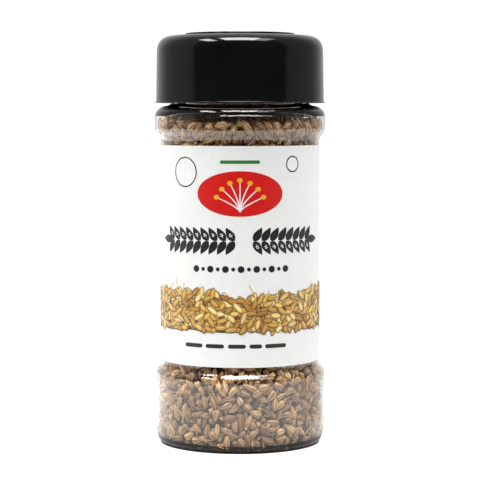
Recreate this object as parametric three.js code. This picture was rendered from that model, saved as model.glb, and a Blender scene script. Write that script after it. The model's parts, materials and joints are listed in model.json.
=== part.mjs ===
// A small shut jar of anise seed: a clear moulded jar, a wrapped label, a black
// screw cap and the heap of seed that fills the jar up to its shoulder.
// Millimetres, +Z up. The origin is the middle of the ring the jar stands on.
// The middle of the label's face looks towards -Y.

import * as THREE from 'three';

// Number of sides of the turned parts, and of the finer heap
const sides = 40;
const heapSides = 110;

// Jar: two rounded bumper bands stand out from a recessed label panel
const wall = 0.6;
const base = 1.5;
const standRingInner = 17.2;
const standRingOuter = 21.2;
const footCorner = 2.3;
const bumperRadius = 24.04;
const bumperFoot = 5.7;
const waistDepth = 0.22;
const lowerBumperTop = 19.75;
const panelRadius = 22.1;
const panelBottom = 23.3;
const panelTop = 85.5;
const upperBumperBottom = 89.15;
const pushUpHeight = 1.9;
const pushUpRadius = 13.5;
const pushUpDome = 0.5;

// The share of a roll's height that its first arc takes, and how that shifts with the inset
const lowerRollShare = 0.42;
const upperRollShare = 0.5;
const rollShareShift = 0.21;

// Shoulder, thicker towards the neck. Each of its sides is part of an ellipse: the heights of
// the ellipse's middle and top, and the quarter turns at which the side starts on it
const shoulderInnerEdge = 20.64;
const shoulderOutside = [92.2, 95.35, 0];
const shoulderInside = [91.5, 94.1, 0.22];

// Neck, which the cap covers
const neckRadius = 19.3;
const neckRoot = 96.2;
const neckTop = 112.4;
const neckWall = 1.8;
const neckFillet = 0.5;

// Label
const labelBottom = 23.8;
const labelTop = 84.4;
const labelOuterRadius = 22.54;
const labelThickness = 0.28;

// Cap
const capBottom = 96.05;
const capTop = 115.0;
const capFootRadius = 23.7;
const capSideTop = 110.4;
const capSideTopRadius = 23.46;
const capRoundRise = 3.2;
const capRoundReach = 1.86;
const capFlatRadius = 18.8;
const capLipRadius = 23.97;
const capLipHeight = 0.45;
const capDiscRadius = 15.55;
const capDiscRise = 0.7;
const capDiscRound = 0.35;
const capInnerRadius = 21.7;
const capRoofThickness = 2.25;
const capEntryHeight = 1.2;
const capEntryRadius = 22.3;

// Heap of seed. Each seed that shows is a bump of its own size and direction.
const seedLength = 3.65;
const seedWidth = 1.95;
const seedThickness = 1.7;
const seedsPerSquareMillimetre = 0.17;
const wallClearance = 0.35;
const gridStep = 1.2;
const rollSteps = 4;
const topRingStep = 4;
const heapTop = 91.7;
const heapSlope = 1.27;
const heapDish = 0.33;
const heapSlopeHalf = 17.5;
const heapWave = 0.25;
const heapWaveLength = 28;
const heapWaveShift = 4;
const heapRim = [22.85, 90.2];
const heapTopEdge = 22.2;
const randomSeed = 20;

const goldenAngle = Math.PI * (3 - Math.sqrt(5));

// ---- outlines, as [radius, height] points ----------------------------------

// Two arcs that meet without a corner and roll one upright side into another. The first
// takes that share of the height.
function roll(r0, z0, r1, z1, share, steps) {
  const lean = 2 * Math.atan(Math.abs(r1 - r0) / (z1 - z0));
  const across = (r1 - r0) / (1 - Math.cos(lean));
  const up = (z1 - z0) / Math.sin(lean);
  const points = [];
  for (let i = 0; i <= steps; i++) {
    const t = 2 * i / steps;
    const [r, z, part, turned] = t <= 1 ? [r0, z0, share, t] : [r1, z1, share - 1, 2 - t];
    const angle = lean * turned;
    points.push([r + part * across * (1 - Math.cos(angle)), z + part * up * Math.sin(angle)]);
  }
  return points;
}

// The lower bumper's roll up to the label panel, moved inwards by inset.
function lowerRoll(inset, panel, steps) {
  const share = lowerRollShare - rollShareShift * inset;
  return roll(bumperRadius - inset, lowerBumperTop, panel, panelBottom, share, steps);
}

// The label panel's roll up to the upper bumper, moved inwards by inset.
function upperRoll(inset, panel, steps) {
  const share = upperRollShare + rollShareShift * inset;
  return roll(panel, panelTop, bumperRadius - inset, upperBumperBottom, share, steps);
}

// A quarter of an ellipse about [r, z], between two angles in quarter turns.
function quarter(r, z, across, up, from, to, steps) {
  const points = [];
  for (let i = 0; i <= steps; i++) {
    const angle = (from + (to - from) * i / steps) * Math.PI / 2;
    points.push([r + across * Math.cos(angle), z + up * Math.sin(angle)]);
  }
  return points;
}

// The lower bumper, drawn in a little at its middle.
function waist(radius, steps) {
  const points = [];
  for (let i = 0; i <= steps; i++) {
    const t = i / steps;
    const drawnIn = waistDepth * Math.sin(Math.PI * t) ** 2;
    points.push([radius - drawnIn, bumperFoot + (lowerBumperTop - bumperFoot) * t]);
  }
  return points;
}

// The jar's side from its foot, at the height floor, to the top of its shoulder, moved
// inwards by inset.
function jarSide(inset, floor, [middle, top, start], steps) {
  const bumper = bumperRadius - inset;
  const panel = panelRadius - inset;
  const across = (bumper - shoulderInnerEdge) / Math.cos(start * Math.PI / 2);
  return [
    ...quarter(standRingOuter, footCorner, footCorner - inset, footCorner - floor, -1, 0, steps),
    ...waist(bumper, steps - 1),
    ...lowerRoll(inset, panel, steps).slice(1),
    ...upperRoll(inset, panel, steps),
    ...quarter(shoulderInnerEdge, middle, across, top - middle, start, 1, steps),
  ];
}

// Turns an outline round the Z axis. It starts and ends on the axis, or closes on itself.
function turned(outline, count = sides) {
  const points = outline.map(([r, z]) => new THREE.Vector2(r, z));
  const geometry = new THREE.LatheGeometry(points, count);
  geometry.rotateX(Math.PI / 2);
  return geometry;
}

// mulberry32, a small random number generator with a fixed start
function randomNumbers(start) {
  let state = start;
  return () => {
    state = (state + 0x6d2b79f5) | 0;
    let mixed = Math.imul(state ^ (state >>> 15), 1 | state);
    mixed = (mixed + Math.imul(mixed ^ (mixed >>> 7), 61 | mixed)) ^ mixed;
    return ((mixed ^ (mixed >>> 14)) >>> 0) / 4294967296;
  };
}

// ---- the jar ------------------------------------------------------------------

const sideSteps = 4;

function makeJar() {
  const neckBore = neckRadius - neckWall;
  const outside = [
    [0, pushUpHeight],
    [pushUpRadius, pushUpHeight - pushUpDome],
    [standRingInner, 0],
    ...jarSide(0, 0, shoulderOutside, sideSteps),
    [neckRadius + neckFillet, neckRoot - neckFillet],
    [neckRadius, neckRoot],
    [neckRadius, neckTop],
  ];
  const inside = [
    [0, pushUpHeight + base],
    [pushUpRadius, pushUpHeight - pushUpDome + base],
    [standRingInner + wall, base],
    ...jarSide(wall, base, shoulderInside, sideSteps),
    [neckBore + neckFillet, shoulderInside[1]],
    [neckBore, shoulderInside[1] + neckFillet],
    [neckBore, neckTop],
  ];
  return turned([...outside, ...inside.reverse()]);
}

// ---- the cap ------------------------------------------------------------------

function makeCap() {
  const topRound = new THREE.CubicBezierCurve(
    new THREE.Vector2(capSideTopRadius, capSideTop),
    new THREE.Vector2(capSideTopRadius, capSideTop + capRoundRise),
    new THREE.Vector2(capSideTopRadius - capRoundReach, capTop),
    new THREE.Vector2(capFlatRadius, capTop),
  );
  const roundSteps = 6;
  const discTop = capTop + capDiscRise;
  const roof = capTop - capRoofThickness;
  return turned([
    [0, roof],
    [capInnerRadius, roof],
    [capInnerRadius, capBottom + capEntryHeight],
    [capEntryRadius, capBottom],
    [capLipRadius, capBottom],
    [capLipRadius, capBottom + capLipHeight],
    [capFootRadius, capBottom + 2 * capLipHeight],
    ...topRound.getPoints(roundSteps).map((point) => [point.x, point.y]),
    [capDiscRadius, capTop],
    [capDiscRadius - capDiscRound / 2, discTop - capDiscRound / 2],
    [capDiscRadius - capDiscRound * 2, discTop],
    [0, discTop],
  ]);
}

// ---- the label ------------------------------------------------------------------

function makeLabel() {
  const innerRadius = labelOuterRadius - labelThickness;
  return turned([
    [innerRadius, labelBottom],
    [labelOuterRadius, labelBottom],
    [labelOuterRadius, labelTop],
    [innerRadius, labelTop],
    [innerRadius, labelBottom],
  ]);
}

// ---- the heap of seed -----------------------------------------------------------

// Height of the heap's uneven top at a place: its middle rises to the back, and it waves.
function heapHeight(x, y) {
  const back = y / bumperRadius;
  const inMiddle = Math.exp(-((x / heapSlopeHalf) ** 4));
  const rise = (heapSlope * back + heapDish * back ** 2) * inMiddle;
  const turns = 2 * Math.PI / heapWaveLength;
  const wave = heapWave * Math.cos(turns * x) * Math.cos(turns * (y + heapWaveShift));
  return heapTop + rise - wave;
}

// Points from one to the other, gridStep apart or a little less.
function stepped([r0, z0], [r1, z1]) {
  const steps = Math.ceil(Math.hypot(r1 - r0, z1 - z0) / gridStep);
  const points = [];
  for (let i = 0; i <= steps; i++) {
    points.push([r0 + (r1 - r0) * i / steps, z0 + (z1 - z0) * i / steps]);
  }
  return points;
}

// Seeds spread evenly over a strip as long as the way round the heap, which is
// unrolled flat and closes on itself.
function scatterSeeds(random, round, height) {
  const count = Math.round(round * height * seedsPerSquareMillimetre);
  return Array.from({ length: count }, (_, i) => ({
    across: (i * goldenAngle / (2 * Math.PI)) % 1 * round,
    along: height * (i + random()) / count,
    turn: Math.PI * random(),
    sunk: seedThickness / 2 * random(),
  }));
}

// How far a place on the strip lies under the highest seeds: 0 on the back of
// one of them and seedThickness in the gaps between seeds.
function depthBetween(seeds, round, across, along) {
  let depth = seedThickness;
  for (const seed of seeds) {
    const aside = across - seed.across;
    const dx = aside - round * Math.round(aside / round);
    const dy = along - seed.along;
    const u = (dx * Math.cos(seed.turn) + dy * Math.sin(seed.turn)) / (seedLength / 2);
    const v = (dy * Math.cos(seed.turn) - dx * Math.sin(seed.turn)) / (seedWidth / 2);
    const back = Math.sqrt(Math.max(0, 1 - u * u - v * v));
    if (back > 0) {
      depth = Math.min(depth, seed.sunk + seedThickness / 2 * (1 - back));
    }
  }
  return depth;
}

// The heap is smooth behind the label, where no seed shows. In the two clear
// bands and on top its surface is made of the backs of its seeds.
function makeHeap() {
  const random = randomNumbers(randomSeed);
  const floor = pushUpHeight + base + wallClearance;
  const foot = [standRingOuter - wallClearance, base + wallClearance];
  const inset = wall + wallClearance;
  const band = bumperRadius - inset;
  const panel = panelRadius - inset;
  const lowerBand = [
    ...stepped(foot, [band, bumperFoot]),
    ...stepped([band, bumperFoot], [band, lowerBumperTop]).slice(1),
    ...lowerRoll(inset, panel, rollSteps).slice(1, -1),
  ];
  const upperBand = [
    ...upperRoll(inset, panel, rollSteps).slice(1),
    heapRim,
    [heapTopEdge, heapTop],
  ];
  const top = [];
  for (let r = heapTopEdge - topRingStep; r > 0; r -= topRingStep) {
    top.push([r, heapTop]);
  }
  const rough = (points) => points.map(([r, z]) => [r, z, true]);
  const outline = [
    [0, floor],
    [pushUpRadius, floor],
    ...rough(lowerBand),
    [panel, panelBottom],
    [panel, panelTop],
    ...rough(upperBand),
    ...rough(top),
    [0, heapTop],
  ];
  const round = 2 * Math.PI * band;
  const seeds = scatterSeeds(random, round, heapTop);
  const geometry = turned(outline, heapSides);
  const place = geometry.attributes.position;
  for (let i = 0; i < place.count; i++) {
    const [r, z, isRough] = outline[i % outline.length];
    const x = place.getX(i);
    const y = place.getY(i);
    if (z === heapTop) {
      const depth = isRough ? depthBetween(seeds, round, x, y + heapTop / 2) * r / band : 0;
      place.setZ(i, heapHeight(x, y) - depth);
    } else if (isRough) {
      const column = Math.floor(i / outline.length) % heapSides;
      const depth = depthBetween(seeds, round, round * column / heapSides, z);
      place.setX(i, x * (r - depth) / r);
      place.setY(i, y * (r - depth) / r);
    }
  }
  return geometry;
}

// ---- the assembled object --------------------------------------------------------

function part(name, geometry, material) {
  const mesh = new THREE.Mesh(geometry, new THREE.MeshStandardMaterial(material));
  mesh.name = name;
  return mesh;
}

const jarOfSeed = new THREE.Group();
jarOfSeed.add(
  part('jar', makeJar(), {
    color: 0xe9edee,
    roughness: 0.06,
    metalness: 0,
    transparent: true,
    opacity: 0.3,
  }),
  part('cap', makeCap(), { color: 0x141414, roughness: 0.22, metalness: 0 }),
  part('label', makeLabel(), { color: 0xf1f1ee, roughness: 0.5, metalness: 0 }),
  part('seeds', makeHeap(), { color: 0x8f7355, roughness: 0.8, metalness: 0 }),
);

export default jarOfSeed;
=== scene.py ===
"""A small shut jar of anise seed, dressed for its close look.

The clear jar, its wrapped label, the black screw cap and the seed inside are made here as fine
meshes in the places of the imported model's nodes. Lengths are in millimetres until a mesh is made.
"""

import json
import math

import bmesh
import bpy
import numpy as np
from mathutils import Matrix, Vector, kdtree

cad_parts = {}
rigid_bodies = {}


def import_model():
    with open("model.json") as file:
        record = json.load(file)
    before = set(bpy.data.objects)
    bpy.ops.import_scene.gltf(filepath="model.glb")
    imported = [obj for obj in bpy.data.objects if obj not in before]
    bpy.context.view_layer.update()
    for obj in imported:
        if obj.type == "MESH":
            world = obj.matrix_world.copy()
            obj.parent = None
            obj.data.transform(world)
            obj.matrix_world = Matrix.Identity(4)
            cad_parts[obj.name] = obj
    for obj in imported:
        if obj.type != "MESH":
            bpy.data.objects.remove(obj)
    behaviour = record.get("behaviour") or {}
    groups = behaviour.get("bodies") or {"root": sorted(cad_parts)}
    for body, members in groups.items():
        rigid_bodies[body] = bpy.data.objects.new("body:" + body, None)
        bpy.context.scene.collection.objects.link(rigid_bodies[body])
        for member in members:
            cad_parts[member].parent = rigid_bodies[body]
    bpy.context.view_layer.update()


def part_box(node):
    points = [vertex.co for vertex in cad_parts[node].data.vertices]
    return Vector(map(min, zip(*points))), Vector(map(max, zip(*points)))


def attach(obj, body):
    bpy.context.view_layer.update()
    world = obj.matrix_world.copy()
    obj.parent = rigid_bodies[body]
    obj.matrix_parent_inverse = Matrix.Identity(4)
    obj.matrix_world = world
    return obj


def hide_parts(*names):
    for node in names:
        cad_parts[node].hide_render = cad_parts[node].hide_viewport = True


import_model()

scene = bpy.context.scene

MM = 0.001
BODY = "root"
SMOOTH_BELOW = math.radians(32)

# ---- sizes, in millimetres ----

_, jar_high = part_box("jar")
cap_low, cap_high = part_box("cap")
label_low, label_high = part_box("label")

# Jar
BUMPER_RADIUS = jar_high.x / MM
NECK_TOP = jar_high.z / MM
WALL = 0.6
BASE = 1.5
STAND_RING_INNER = 17.2
STAND_RING_OUTER = 21.2
FOOT_CORNER = 2.3
BUMPER_FOOT = 5.7
WAIST_DEPTH = 0.22
LOWER_BUMPER_TOP = 19.75
PANEL_BOTTOM = 23.3
PANEL_TOP = 85.5
UPPER_BUMPER_BOTTOM = 89.15
SHOULDER_INNER_EDGE = 20.64
PUSH_UP_HEIGHT = 1.9
PUSH_UP_RADIUS = 13.5
PUSH_UP_DOME = 0.5
NECK_RADIUS = 19.3
NECK_ROOT = 96.2
NECK_WALL = 1.8
NECK_FILLET = 0.5

# The share of a roll's height that its first arc takes, and how that shifts with the inset
LOWER_ROLL_SHARE = 0.42
UPPER_ROLL_SHARE = 0.5
ROLL_SHARE_SHIFT = 0.21

# Each side of the shoulder is part of an ellipse: the heights of the ellipse's middle and top,
# and the quarter turns at which the side starts on it
SHOULDER_OUTSIDE = (92.2, 95.35, 0.0)
SHOULDER_INSIDE = (91.5, 94.1, 0.22)

# Label, which lies on the jar's recessed panel
LABEL_BOTTOM = label_low.z / MM
LABEL_TOP = label_high.z / MM
LABEL_RADIUS = label_high.x / MM
PAPER = 0.12
PAPER_GAP = 0.02
PAPER_OVERLAP = 5.0
PANEL_RADIUS = LABEL_RADIUS - PAPER - 2 * PAPER_GAP

# Cap
CAP_BOTTOM = cap_low.z / MM
CAP_PEAK = cap_high.z / MM
CAP_LIP_RADIUS = cap_high.x / MM
CAP_DISC_RISE = 0.7
CAP_TOP = CAP_PEAK - CAP_DISC_RISE
CAP_FOOT_RADIUS = 23.7
CAP_SIDE_TOP = 110.4
CAP_SIDE_TOP_RADIUS = 23.46
CAP_ROUND_RISE = 3.2
CAP_ROUND_REACH = 1.86
CAP_FLAT_RADIUS = 18.8
CAP_LIP_HEIGHT = 0.45
CAP_LIP_ROUND = 0.12
CAP_DISC_RADIUS = 15.55
CAP_DISC_ROUND = 0.35
CAP_INNER_RADIUS = 21.7
CAP_ROOF = 2.25
CAP_ENTRY_HEIGHT = 1.2
CAP_ENTRY_RADIUS = 22.3

# Heap of seed
SEED_LENGTH = 3.65
SEED_WIDTH = 1.95
SEED_THICKNESS = 1.68
HEAP_TOP = 91.7
HEAP_SLOPE = 1.27
HEAP_DISH = 0.33
HEAP_SLOPE_HALF = 17.5
HEAP_WAVE = 0.25
HEAP_WAVE_LENGTH = 28
HEAP_WAVE_SHIFT = 4

# Seeds reach this deep from the wall and from the heap's top and underside. The core starts a
# little less deep, so that the deepest are partly sunk in it.
SIDE_DEPTH = 3.3
FACE_DEPTH = 2.8
CORE_DEPTH = 2.4

# The camera of the photograph, which is 480 pixels square
PHOTO_SIZE = 480
FOCAL_PIXELS = 1881.64
PHOTO_MIDDLE = (240.2, 240.0)
CAMERA_BACK = 533.16
CAMERA_HEIGHT = 94.89
CAMERA_PITCH = 0.0704
SENSOR = 36.0


# ---- small helpers ----

def roll(r0, z0, r1, z1, share, steps):
    """Two arcs that meet without a corner and roll one upright side into another. The first
    takes that share of the height."""
    lean = 2 * math.atan(abs(r1 - r0) / (z1 - z0))
    across = (r1 - r0) / (1 - math.cos(lean))
    up = (z1 - z0) / math.sin(lean)
    points = []
    for i in range(steps + 1):
        t = 2 * i / steps
        r, z, part, turned = (r0, z0, share, t) if t <= 1 else (r1, z1, share - 1, 2 - t)
        angle = lean * turned
        points.append((r + part * across * (1 - math.cos(angle)), z + part * up * math.sin(angle)))
    return points


def quarter(r, z, across, up, start, end, steps):
    """Part of an ellipse about (r, z), between two angles in quarter turns."""
    points = []
    for i in range(steps + 1):
        angle = (start + (end - start) * i / steps) * math.pi / 2
        points.append((r + across * math.cos(angle), z + up * math.sin(angle)))
    return points


def bezier(a, b, c, d, steps):
    """Points of a cubic curve from a to d."""
    points = []
    for i in range(steps + 1):
        t = i / steps
        weights = ((1 - t) ** 3, 3 * t * (1 - t) ** 2, 3 * t * t * (1 - t), t ** 3)
        points.append(tuple(sum(w * p[k] for w, p in zip(weights, (a, b, c, d))) for k in (0, 1)))
    return points


def smooth_step(low, high, value):
    """0 below low, 1 above high, and a smooth rise between them."""
    t = np.clip((value - low) / (high - low), 0, 1)
    return t * t * (3 - 2 * t)


def new_object(name, data):
    thing = bpy.data.objects.new(name, data)
    scene.collection.objects.link(thing)
    return thing


def mesh_object(name, points, faces, material=None, edges=()):
    """An object at the origin whose mesh holds points given in millimetres."""
    mesh = bpy.data.meshes.new(name)
    mesh.from_pydata([tuple(c * MM for c in p) for p in points], edges, faces)
    mesh.validate()
    if material:
        mesh.materials.append(material)
    return new_object(name, mesh)


def add_attribute(thing, name, kind, values):
    """Keeps a number or a vector at each point of a mesh."""
    field = "vector" if kind == "FLOAT_VECTOR" else "value"
    layer = thing.data.attributes.new(name, kind, "POINT")
    layer.data.foreach_set(field, np.ravel(values))


def face_outwards(thing):
    """Merges doubled points and turns the faces of a closed mesh outwards."""
    work = bmesh.new()
    work.from_mesh(thing.data)
    bmesh.ops.remove_doubles(work, verts=work.verts, dist=1e-7)
    bmesh.ops.recalc_face_normals(work, faces=work.faces)
    work.to_mesh(thing.data)
    work.free()


def shade_smooth(thing, angle=SMOOTH_BELOW):
    """Smooth shading, with edges sharper than the angle kept sharp."""
    thing.data.shade_smooth()
    thing.data.set_sharp_from_angle(angle=angle)


def lathe(name, outline, sides, material):
    """Turns an outline of (radius, height) points round the Z axis into a closed mesh."""
    points, rings = [], []
    for r, z in outline:
        count = 1 if r < 1e-6 else sides
        rings.append([len(points) + i for i in range(count)])
        for i in range(count):
            angle = 2 * math.pi * i / sides
            points.append((r * math.cos(angle), r * math.sin(angle), z))
    faces = []
    for low, high in zip(rings, rings[1:]):
        for i in range(sides):
            j = (i + 1) % sides
            if len(low) == 1 and len(high) > 1:
                faces.append((low[0], high[j], high[i]))
            elif len(high) == 1 and len(low) > 1:
                faces.append((low[i], low[j], high[0]))
            elif len(low) > 1:
                faces.append((low[i], low[j], high[j], high[i]))
    thing = mesh_object(name, points, faces, material)
    face_outwards(thing)
    shade_smooth(thing)
    return thing


def finish_piece(piece, slot, *nodes):
    """Rides the piece on the jar's body and hides the imported nodes that it replaces. Its slot is
    not used.
    """
    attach(piece, BODY)
    if nodes:
        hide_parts(*nodes)


class Nodes:
    """Adds nodes to a tree and wires them as they are made."""

    def __init__(self, tree):
        self.tree = tree

    def put(self, socket, value):
        if isinstance(value, bpy.types.NodeSocket):
            self.tree.links.new(value, socket)
        else:
            socket.default_value = value

    def fill(self, node, **inputs):
        """Sets or links inputs of a node. Their names' spaces are written as underscores."""
        for name, value in inputs.items():
            self.put(node.inputs[name.replace("_", " ")], value)

    def add(self, kind, inputs=None, **settings):
        node = self.tree.nodes.new(kind)
        for name, value in settings.items():
            setattr(node, name, value)
        for name, value in (inputs or {}).items():
            self.put(node.inputs[name], value)
        return node

    def math(self, operation, *values):
        node = self.add("ShaderNodeMath", operation=operation)
        for socket, value in zip(node.inputs, values):
            self.put(socket, value)
        return node.outputs[0]

    def share(self, value, start, end):
        """How far a length in metres has come between two given in millimetres, from 0 to 1."""
        values = {"Value": value, "From Min": start * MM, "From Max": end * MM}
        return self.add("ShaderNodeMapRange", values).outputs[0]

    def mix(self, factor, a, b, blend="MIX"):
        node = self.add("ShaderNodeMix", data_type="RGBA", blend_type=blend)
        for place, value in ((0, factor), (6, a), (7, b)):
            self.put(node.inputs[place], value)
        return node.outputs[2]

    def times(self, a, b):
        return self.mix(1.0, a, b, "MULTIPLY")

    def ramp(self, factor, *stops):
        """Colours between stops given as (place, colour)."""
        node = self.add("ShaderNodeValToRGB", {"Fac": factor})
        elements = node.color_ramp.elements
        while len(elements) < len(stops):
            elements.new(0.5)
        for element, (place, colour) in zip(elements, stops):
            element.position = place
            element.color = (*colour, 1)
        return node.outputs["Color"]

    def grey(self, factor, *stops):
        """Greys between stops given as (place, level)."""
        return self.ramp(factor, *((place, (level,) * 3) for place, level in stops))

    def axes(self, coordinates):
        return self.add("ShaderNodeSeparateXYZ", {0: coordinates}).outputs

    def painted(self, name, part):
        """An attribute of the surface: its colour (Color) or its number (Fac)."""
        return self.add("ShaderNodeAttribute", attribute_name=name).outputs[part]

    def kept(self, name, kind):
        """An attribute of the points that a tree is given."""
        values = {"Name": name}
        return self.add("GeometryNodeInputNamedAttribute", values, data_type=kind).outputs[0]

    def noise(self, coordinates, scale, detail=2.0, roughness=0.5):
        values = {"Vector": coordinates, "Scale": scale, "Detail": detail, "Roughness": roughness}
        return self.add("ShaderNodeTexNoise", values).outputs["Fac"]

    def bump(self, height, distance, strength=1.0):
        values = {"Height": height, "Distance": distance, "Strength": strength}
        return self.add("ShaderNodeBump", values).outputs["Normal"]


def new_material(name):
    """A material with its nodes, its Principled shader and the object's own coordinates."""
    material = bpy.data.materials.new(name)
    material.use_nodes = True
    nodes = Nodes(material.node_tree)
    shader = material.node_tree.nodes["Principled BSDF"]
    coordinates = nodes.add("ShaderNodeTexCoord").outputs["Object"]
    return material, nodes, shader, coordinates


# ---- materials ----

# Heights, and places from back to front, over which the plastic's painted shade comes in: grey in
# its foot, and dimmer lamplight through its front over the shoulder
FOOT_SHADE_HEIGHTS = (1.6, 3.4)
SHOULDER_DIM_HEIGHTS = (90.7, 92.7)
FRONT_DIM_PLACES = (-14.0, -19.0)


def clear_plastic():
    """Polished clear plastic, faintly rippled, that lets the lamps reach the seed behind it.
    At its front over the shoulder it lets through far less lamplight: painted shade on the seed
    there, partly for the light the thick round shoulder turns aside. Its foot is painted grey as
    shade."""
    material, nodes, shader, place = new_material("clear moulded plastic")
    axes = nodes.axes(place)
    # Painted shade: the plastic's colour turns grey in the thick foot
    over_foot = nodes.share(axes[2], *FOOT_SHADE_HEIGHTS)
    tint = nodes.ramp(over_foot, (0.0, (0.53, 0.51, 0.505)), (1.0, (0.975, 0.968, 0.955)))
    ripple = nodes.bump(nodes.noise(place, 70.0, 1.0), 0.00008, 0.08)
    nodes.fill(shader, Base_Color=tint, Normal=ripple)
    nodes.fill(shader, Roughness=0.0, IOR=1.5, Transmission_Weight=1.0)
    path = nodes.add("ShaderNodeLightPath").outputs
    soft = nodes.math("MAXIMUM", path["Is Shadow Ray"], path["Is Diffuse Ray"])
    # Painted shade on the seed: lamplight through the front over the shoulder falls to 0.22, partly
    # for light the thick shoulder turns aside
    above = nodes.share(axes[2], *SHOULDER_DIM_HEIGHTS)
    front = nodes.share(axes[1], *FRONT_DIM_PLACES)
    lamplight = nodes.grey(nodes.math("MULTIPLY", above, front), (0.0, 0.9), (1.0, 0.22))
    dimmed = nodes.mix(path["Is Shadow Ray"], (0.97, 0.97, 0.97, 1), lamplight)
    open_way = nodes.add("ShaderNodeBsdfTransparent", {"Color": dimmed})
    both = nodes.add("ShaderNodeMixShader", {0: soft, 1: shader.outputs[0], 2: open_way.outputs[0]})
    nodes.fill(material.node_tree.nodes["Material Output"], Surface=both.outputs[0])
    return material


def black_plastic():
    """Glossy black moulded plastic with a little dust and handling wear in its gloss."""
    material, nodes, shader, place = new_material("glossy black plastic")
    cloud = nodes.noise(place, 90.0, 4.0)
    colour = nodes.ramp(cloud, (0.3, (0.0035, 0.0035, 0.0036)), (0.75, (0.0062, 0.006, 0.006)))
    rough = nodes.grey(nodes.noise(place, 260.0, 5.0), (0.3, 0.07), (0.8, 0.13))
    grain = nodes.bump(nodes.noise(place, 160.0, 2.0), 0.00005, 0.15)
    nodes.fill(shader, Base_Color=colour, Roughness=rough, IOR=1.5, Normal=grain)
    return material


def coated_paper():
    """White coated paper with a faint mottle and a fine tooth."""
    material, nodes, shader, place = new_material("coated white paper")
    mottle = nodes.noise(place, 320.0, 5.0, 0.6)
    colour = nodes.ramp(mottle, (0.3, (0.87, 0.87, 0.85)), (0.7, (0.91, 0.91, 0.89)))
    rough = nodes.grey(mottle, (0.3, 0.42), (0.7, 0.52))
    tooth = nodes.bump(nodes.noise(place, 2600.0, 3.0), 0.00001, 0.3)
    nodes.fill(shader, Base_Color=colour, Roughness=rough, Normal=tooth)
    nodes.fill(shader, Specular_IOR_Level=0.25, Diffuse_Roughness=0.5)
    return material


def printing_ink():
    """Flat print whose colour is kept on the shapes themselves."""
    material, nodes, shader, place = new_material("printing ink")
    ink = nodes.painted("ink", "Color")
    mottle = nodes.noise(place, 900.0, 3.0)
    worn = nodes.grey(mottle, (0.3, 0.93), (0.7, 1.0))
    rough = nodes.grey(mottle, (0.3, 0.32), (0.7, 0.42))
    nodes.fill(shader, Base_Color=nodes.times(ink, worn), Roughness=rough)
    return material


def seed_husk():
    """Dry ribbed husk: each seed has a tint of its own, pale ribs and darker furrows."""
    material, nodes, shader, place = new_material("ribbed seed husk")
    tint = nodes.painted("tint", "Fac")
    ridge = nodes.painted("ridge", "Fac")
    husk = nodes.ramp(
        tint,
        (0.0, (0.255, 0.149, 0.073)),
        (0.25, (0.4, 0.236, 0.117)),
        (0.5, (0.49, 0.296, 0.15)),
        (0.85, (0.565, 0.358, 0.18)),
        (0.95, (0.65, 0.435, 0.205)),
        (1.0, (0.72, 0.5, 0.225)),
    )
    mottle = nodes.noise(place, 1500.0, 4.0, 0.65)
    shade = nodes.ramp(mottle, (0.25, (0.72, 0.7, 0.68)), (0.75, (1.18, 1.17, 1.15)))
    husk = nodes.times(husk, shade)
    furrow = nodes.times(husk, (0.6, 0.56, 0.5, 1))
    crest = nodes.times(husk, (1.45, 1.42, 1.35, 1))
    colour = nodes.mix(nodes.math("POWER", ridge, 1.6), furrow, crest)
    rough = nodes.grey(mottle, (0.3, 0.5), (0.7, 0.68))
    down = nodes.bump(nodes.noise(place, 7000.0, 3.0), 0.00004, 0.5)
    nodes.fill(shader, Base_Color=colour, Roughness=rough, Normal=down)
    return material


def straw():
    """Dry yellow stalk, streaked along its length."""
    material, nodes, shader, place = new_material("dry straw")
    streak = nodes.noise(place, 1800.0, 4.0)
    colour = nodes.ramp(streak, (0.25, (0.36, 0.24, 0.09)), (0.75, (0.66, 0.5, 0.22)))
    nodes.fill(shader, Base_Color=colour, Roughness=0.5, Normal=nodes.bump(streak, 0.00004, 0.5))
    return material


def seed_dust():
    """The dim inside of the heap: dusty husk and shadow."""
    material, nodes, shader, place = new_material("shaded seed dust")
    speck = nodes.noise(place, 900.0, 5.0, 0.7)
    colour = nodes.ramp(speck, (0.3, (0.02, 0.012, 0.006)), (0.75, (0.075, 0.044, 0.018)))
    nodes.fill(shader, Base_Color=colour, Roughness=0.9, Normal=nodes.bump(speck, 0.0004, 0.8))
    return material


# ---- jar ----

JAR_SIDES = 192
JAR_STEPS = 14
JAR_SMOOTH_BELOW = math.radians(18)


def waist(radius, steps):
    """The lower bumper, drawn in a little at its middle."""
    points = []
    for i in range(steps + 1):
        t = i / steps
        drawn_in = WAIST_DEPTH * math.sin(math.pi * t) ** 2
        points.append((radius - drawn_in, BUMPER_FOOT + (LOWER_BUMPER_TOP - BUMPER_FOOT) * t))
    return points


def jar_side(inset, floor, shoulder, steps):
    """The jar's side from its stand ring to the top of its shoulder, moved inwards by inset."""
    bumper = BUMPER_RADIUS - inset
    panel = PANEL_RADIUS - inset
    corner = FOOT_CORNER - inset
    low, high, start = shoulder
    reach = (bumper - SHOULDER_INNER_EDGE) / math.cos(start * math.pi / 2)
    lower_share = LOWER_ROLL_SHARE - ROLL_SHARE_SHIFT * inset
    upper_share = UPPER_ROLL_SHARE + ROLL_SHARE_SHIFT * inset
    return [
        *quarter(STAND_RING_OUTER, FOOT_CORNER, corner, FOOT_CORNER - floor, -1, 0, steps),
        *waist(bumper, steps),
        *roll(bumper, LOWER_BUMPER_TOP, panel, PANEL_BOTTOM, lower_share, steps)[1:],
        *roll(panel, PANEL_TOP, bumper, UPPER_BUMPER_BOTTOM, upper_share, steps),
        *quarter(SHOULDER_INNER_EDGE, low, reach, high - low, start, 1, steps),
    ]


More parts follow.
